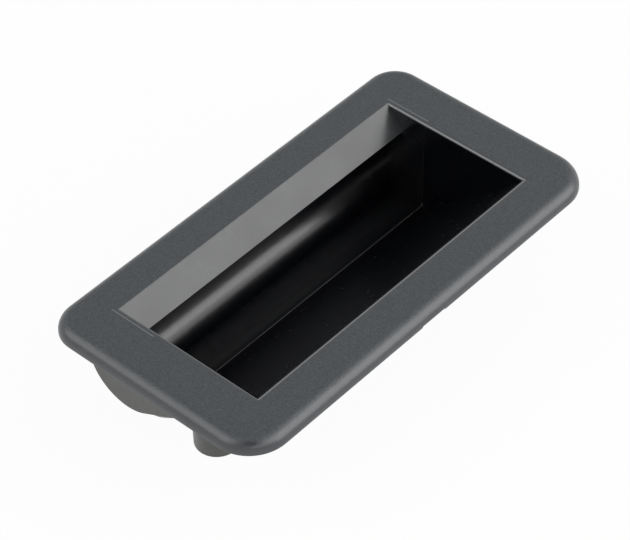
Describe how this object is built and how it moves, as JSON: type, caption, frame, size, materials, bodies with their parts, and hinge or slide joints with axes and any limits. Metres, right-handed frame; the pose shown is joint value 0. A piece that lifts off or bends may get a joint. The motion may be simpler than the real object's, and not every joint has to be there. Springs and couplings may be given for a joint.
{
  "type": "recessed pull handle",
  "caption": "Black moulded recessed pull handle: oblong flange, finger cup with a ramped floor, a leaning grip lip and two rear screw bosses.",
  "frame": {"origin": "centre of the flange's seating plane, the plane that lies on the face of the panel", "axes": "+X along the length, +Y across the flange toward the lip and its pocket, +Z out of the panel"},
  "size_m": [0.1226, 0.0652, 0.0307],
  "materials": {
    "handle_plastic": "fine-grained satin"
  },
  "bodies": {
    "root": {"pull_handle_body": "handle_plastic"}
  },
  "joints": []
}
